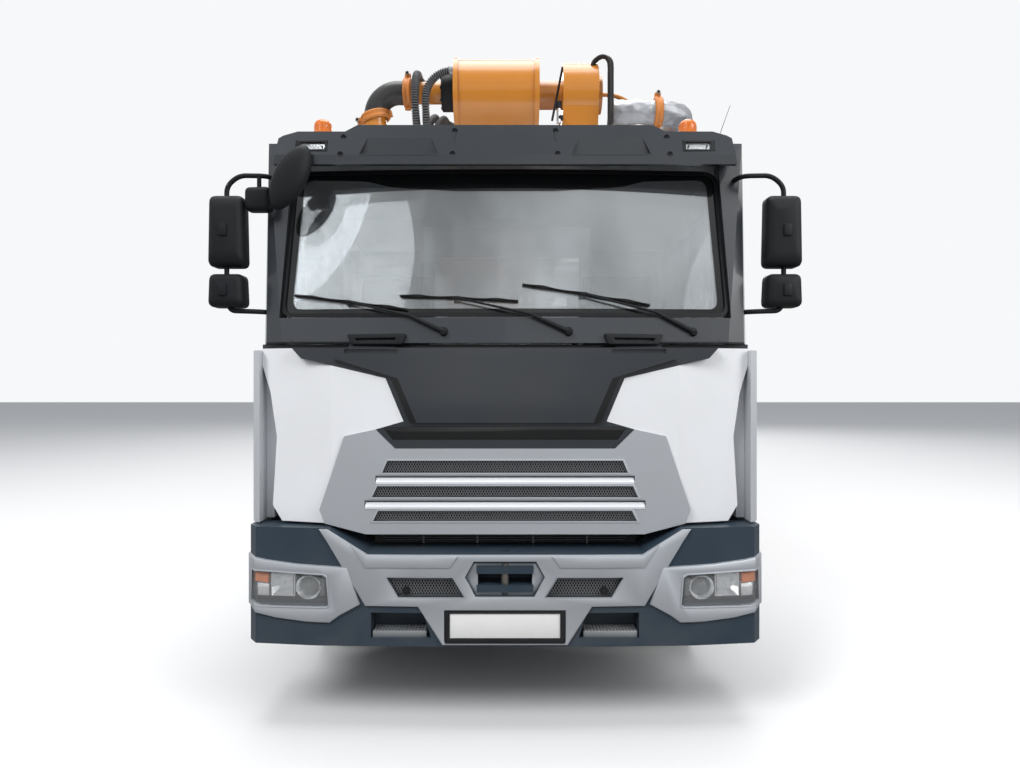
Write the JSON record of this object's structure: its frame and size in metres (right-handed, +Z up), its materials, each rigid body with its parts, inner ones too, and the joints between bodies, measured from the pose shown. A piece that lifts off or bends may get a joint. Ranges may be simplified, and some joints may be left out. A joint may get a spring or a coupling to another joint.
{
  "type": "truck-mounted concrete pump",
  "caption": "Cab-over truck carrying a folded multi-section concrete boom, swing-out outriggers and a rear hopper.",
  "frame": {"origin": "on the ground, under the middle of the truck's overall length and width", "axes": "+Z up, -Y to the truck's front, +X to the truck's own left side"},
  "size_m": [2.956, 11.6, 3.9248],
  "materials": {
    "chassis_paint": "satin",
    "machine_paint": "satin",
    "wheel_rubber": "matte",
    "cab_white": "gloss",
    "cab_dark": "satin",
    "cab_silver": "satin",
    "bumper_blue": "satin",
    "trim_black": "matte",
    "pane": "clear",
    "lamp_lens": "clear",
    "boom_orange": "gloss",
    "wrap_silver": "satin",
    "rod_steel": "polished",
    "body_steel": "satin"
  },
  "bodies": {
    "truck": {"chassis_frame": "chassis_paint", "front_axle": "chassis_paint", "rear_axles": "chassis_paint", "powertrain": "machine_paint", "cab_shell": "cab_white", "cab_glass": "pane", "cab_interior": "trim_black", "roof_visor": "cab_dark", "front_panel": "cab_dark", "corner_panels": "cab_white", "deflectors": "cab_silver", "grille": "cab_silver", "bumper": "bumper_blue", "lamps": "lamp_lens", "mirrors": "trim_black", "wipers": "trim_black", "fenders": "chassis_paint", "subframe": "chassis_paint", "deck": "body_steel", "deck_frame": "boom_orange", "tanks": "body_steel", "hopper": "boom_orange", "hopper_fittings": "boom_orange", "pump_unit": "machine_paint", "chassis_pipe": "body_steel"},
    "knuckle_left_body": {"knuckle_left": "chassis_paint"},
    "knuckle_right_body": {"knuckle_right": "chassis_paint"},
    "wheel_fl": {"wheel_front_left": "wheel_rubber"},
    "wheel_fr": {"wheel_front_right": "wheel_rubber"},
    "wheels_ml": {"wheels_mid_left": "wheel_rubber"},
    "wheels_mr": {"wheels_mid_right": "wheel_rubber"},
    "wheels_rl": {"wheels_rear_left": "wheel_rubber"},
    "wheels_rr": {"wheels_rear_right": "wheel_rubber"},
    "door_left_body": {"door_left": "cab_white", "door_glass_left": "pane"},
    "door_right_body": {"door_right": "cab_white", "door_glass_right": "pane"},
    "grate_body": {"hopper_grate": "body_steel"},
    "turret_body": {"turret": "boom_orange"},
    "lift_barrel_body": {"lift_barrel": "boom_orange"},
    "lift_rod_body": {"lift_rod": "rod_steel"},
    "arm_1_body": {"arm_1": "boom_orange", "pipe_1": "boom_orange"},
    "arm_2_body": {"arm_2": "boom_orange", "pipe_2": "boom_orange"},
    "arm_3_body": {"arm_3": "boom_orange", "pipe_3": "wrap_silver"},
    "arm_4_body": {"arm_4": "boom_orange", "pipe_4": "boom_orange"},
    "rod_2_body": {"rod_2": "rod_steel"},
    "rod_3_body": {"rod_3": "rod_steel"},
    "rod_4_body": {"rod_4": "rod_steel"},
    "leg_front_left_body": {"leg_front_left": "boom_orange"},
    "leg_front_right_body": {"leg_front_right": "boom_orange"},
    "leg_rear_left_body": {"leg_rear_left": "boom_orange"},
    "leg_rear_right_body": {"leg_rear_right": "boom_orange"},
    "jack_front_left_body": {"jack_front_left": "rod_steel"},
    "jack_front_right_body": {"jack_front_right": "rod_steel"},
    "jack_rear_left_body": {"jack_rear_left": "rod_steel"},
    "jack_rear_right_body": {"jack_rear_right": "rod_steel"}
  },
  "joints": [
    {"name": "steer_left", "type": "hinge", "parent": "truck", "child": "knuckle_left_body", "pos_m": [0.87, -4.35, 0.53], "axis": [0, 0, 1], "range_deg": [-38, 38]},
    {"name": "roll_front_left", "type": "hinge", "parent": "knuckle_left_body", "child": "wheel_fl", "pos_m": [1.025, -4.35, 0.53], "axis": [1, 0, 0], "continuous": true},
    {"name": "roll_mid_left", "type": "hinge", "parent": "truck", "child": "wheels_ml", "pos_m": [1.094, 0.85, 0.53], "axis": [1, 0, 0], "continuous": true},
    {"name": "roll_rear_left", "type": "hinge", "parent": "truck", "child": "wheels_rl", "pos_m": [1.094, 2.22, 0.53], "axis": [1, 0, 0], "continuous": true},
    {"name": "door_left_swing", "type": "hinge", "parent": "truck", "child": "door_left_body", "pos_m": [1.25, -5.345, 1.977], "axis": [0, 0, -1], "range_deg": [0, 75]},
    {"name": "leg_front_left_swing", "type": "hinge", "parent": "truck", "child": "leg_front_left_body", "pos_m": [1.09, -3.08, 1.36], "axis": [0, 0, -1], "range_deg": [0, 110]},
    {"name": "leg_rear_left_swing", "type": "hinge", "parent": "truck", "child": "leg_rear_left_body", "pos_m": [1.09, 3.1, 1.36], "axis": [0, 0, -1], "range_deg": [0, 80]},
    {"name": "jack_front_left_drop", "type": "slide", "parent": "leg_front_left_body", "child": "jack_front_left_body", "axis": [0, 0, -1], "range_m": [0, 0.43]},
    {"name": "jack_rear_left_drop", "type": "slide", "parent": "leg_rear_left_body", "child": "jack_rear_left_body", "axis": [0, 0, -1], "range_m": [0, 0.43]},
    {"name": "steer_right", "type": "hinge", "parent": "truck", "child": "knuckle_right_body", "pos_m": [-0.87, -4.35, 0.53], "axis": [0, 0, 1], "range_deg": [-38, 38]},
    {"name": "roll_front_right", "type": "hinge", "parent": "knuckle_right_body", "child": "wheel_fr", "pos_m": [-1.025, -4.35, 0.53], "axis": [1, 0, 0], "continuous": true},
    {"name": "roll_mid_right", "type": "hinge", "parent": "truck", "child": "wheels_mr", "pos_m": [-1.094, 0.85, 0.53], "axis": [1, 0, 0], "continuous": true},
    {"name": "roll_rear_right", "type": "hinge", "parent": "truck", "child": "wheels_rr", "pos_m": [-1.094, 2.22, 0.53], "axis": [1, 0, 0], "continuous": true},
    {"name": "door_right_swing", "type": "hinge", "parent": "truck", "child": "door_right_body", "pos_m": [-1.25, -5.345, 1.977], "axis": [0, 0, 1], "range_deg": [0, 75]},
    {"name": "leg_front_right_swing", "type": "hinge", "parent": "truck", "child": "leg_front_right_body", "pos_m": [-1.09, -3.08, 1.36], "axis": [0, 0, 1], "range_deg": [0, 110]},
    {"name": "leg_rear_right_swing", "type": "hinge", "parent": "truck", "child": "leg_rear_right_body", "pos_m": [-1.09, 3.1, 1.36], "axis": [0, 0, 1], "range_deg": [0, 80]},
    {"name": "jack_front_right_drop", "type": "slide", "parent": "leg_front_right_body", "child": "jack_front_right_body", "axis": [0, 0, -1], "range_m": [0, 0.43]},
    {"name": "jack_rear_right_drop", "type": "slide", "parent": "leg_rear_right_body", "child": "jack_rear_right_body", "axis": [0, 0, -1], "range_m": [0, 0.43]},
    {"name": "slew", "type": "hinge", "parent": "truck", "child": "turret_body", "pos_m": [0, -2.7, 1.7], "axis": [0, 0, 1], "range_deg": [-185, 185]},
    {"name": "arm_1_lift", "type": "hinge", "parent": "turret_body", "child": "arm_1_body", "pos_m": [-0.062, -3.15, 3.28], "axis": [1, 0, 0], "range_deg": [0, 90]},
    {"name": "arm_2_fold", "type": "hinge", "parent": "arm_1_body", "child": "arm_2_body", "pos_m": [-0.062, 4.84774, 3.47], "axis": [-1, 0, 0], "range_deg": [0, 180]},
    {"name": "arm_3_fold", "type": "hinge", "parent": "arm_2_body", "child": "arm_3_body", "pos_m": [0.4725, -4.45206, 3.53], "axis": [1, 0, 0], "range_deg": [0, 180]},
    {"name": "arm_4_fold", "type": "hinge", "parent": "arm_3_body", "child": "arm_4_body", "pos_m": [0.4725, 3.54688, 3.4], "axis": [-1, 0, 0], "range_deg": [0, 180]},
    {"name": "lift_swing", "type": "hinge", "parent": "turret_body", "child": "lift_barrel_body", "pos_m": [-0.062, -2.85, 2], "axis": [1, 0, 0], "range_deg": [0, 55.8]},
    {"name": "lift_stroke", "type": "slide", "parent": "lift_barrel_body", "child": "lift_rod_body", "axis": [0, 0.7987, 0.6017], "range_m": [0, 1.2056]},
    {"name": "rod_2_stroke", "type": "slide", "parent": "arm_2_body", "child": "rod_2_body", "axis": [0, 1, 0], "range_m": [0, 0.45]},
    {"name": "rod_3_stroke", "type": "slide", "parent": "arm_2_body", "child": "rod_3_body", "axis": [0, -1, 0], "range_m": [0, 0.45]},
    {"name": "rod_4_stroke", "type": "slide", "parent": "arm_4_body", "child": "rod_4_body", "axis": [0, 1, 0], "range_m": [0, 0.45]},
    {"name": "grate_lift", "type": "hinge", "parent": "truck", "child": "grate_body", "pos_m": [0, 4.8, 1.504], "axis": [1, 0, 0], "range_deg": [0, 85]}
  ],
  "couplings": [
    {"joint": "steer_right", "follows": "steer_left", "ratio": 1},
    {"joint": "arm_2_fold", "follows": "arm_1_lift", "ratio": 2},
    {"joint": "lift_swing", "follows": "arm_1_lift", "ratio": 0.61996},
    {"joint": "lift_stroke", "follows": "arm_1_lift", "m_per_rad": 0.76754},
    {"joint": "rod_2_stroke", "follows": "arm_1_lift", "m_per_rad": 0.28648},
    {"joint": "rod_3_stroke", "follows": "arm_3_fold", "m_per_rad": 0.14324},
    {"joint": "rod_4_stroke", "follows": "arm_4_fold", "m_per_rad": 0.14324}
  ]
}
